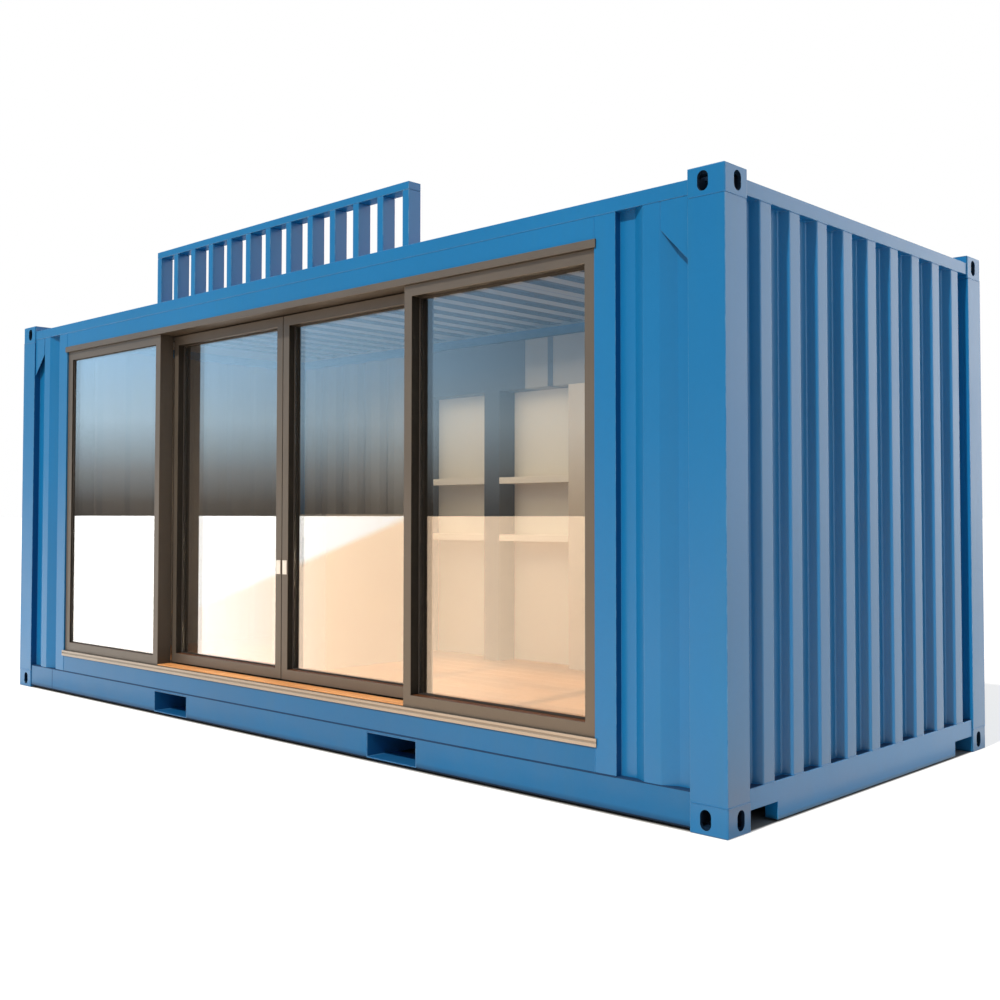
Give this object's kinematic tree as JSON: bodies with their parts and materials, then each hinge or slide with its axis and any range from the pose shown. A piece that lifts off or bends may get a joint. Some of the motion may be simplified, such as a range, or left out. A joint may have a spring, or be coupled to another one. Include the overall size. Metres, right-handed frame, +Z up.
{
  "type": "shipping container cabin",
  "caption": "Steel shipping container turned into a shop cabin, with a wide glazed front whose middle panels slide and a plain sign frame on the roof edge.",
  "frame": {"origin": "on the ground under the middle of the container", "axes": "+X along the long side to the right of the glazed front, -Y out of the glazed front, +Z up"},
  "size_m": [6.058, 2.438, 2.871],
  "materials": {
    "blue_paint": "satin container paint",
    "dark_paint": "satin container paint in shade",
    "plywood": "sealed plywood",
    "floor_timber": "oiled boards",
    "threshold_timber": "oiled hardwood",
    "bronze_aluminium": "bronze anodised, satin",
    "sill_aluminium": "light bronze anodised, satin",
    "glass": "clear double glazing",
    "handle_metal": "black satin",
    "lock_metal": "brushed",
    "roller_plastic": "matte",
    "white_board": "painted board, satin",
    "display_board": "painted board, satin"
  },
  "bodies": {
    "container": {"bottom_castings": "blue_paint", "top_castings": "blue_paint", "front_posts": "blue_paint", "back_posts": "blue_paint", "front_top_rail": "blue_paint", "back_top_rail": "blue_paint", "end_top_rails": "blue_paint", "front_bottom_rail": "blue_paint", "back_bottom_rail": "blue_paint", "end_bottom_rails": "blue_paint", "fork_pockets": "dark_paint", "cross_members": "dark_paint", "floor_deck": "plywood", "floor_boards": "floor_timber", "roof": "blue_paint", "back_wall": "blue_paint", "left_wall": "blue_paint", "right_wall": "blue_paint", "front_left_panel": "blue_paint", "front_right_panel": "blue_paint", "top_gussets": "blue_paint", "header_beam": "blue_paint", "sill_beam": "blue_paint", "jamb_posts": "blue_paint", "door_head": "bronze_aluminium", "door_sill": "sill_aluminium", "door_jambs": "bronze_aluminium", "threshold_board": "threshold_timber", "left_fixed_frame": "bronze_aluminium", "right_fixed_frame": "bronze_aluminium", "fixed_glass": "glass", "sign_bar": "blue_paint", "sign_fins": "blue_paint", "counter": "white_board", "display_posts": "display_board", "display_valance": "display_board", "display_back": "white_board", "display_shelves": "white_board"},
    "left_door": {"left_door_frame": "bronze_aluminium", "left_door_glass": "glass", "left_door_handle": "handle_metal", "left_door_lock": "lock_metal", "left_door_rollers": "roller_plastic"},
    "right_door": {"right_door_frame": "bronze_aluminium", "right_door_glass": "glass", "right_door_handle": "handle_metal", "right_door_lock": "lock_metal", "right_door_rollers": "roller_plastic"}
  },
  "joints": [
    {"name": "left_door_slide", "type": "slide", "parent": "container", "child": "left_door", "axis": [-1, 0, 0], "range_m": [0, 1.1]},
    {"name": "right_door_slide", "type": "slide", "parent": "container", "child": "right_door", "axis": [1, 0, 0], "range_m": [0, 1.1]}
  ]
}
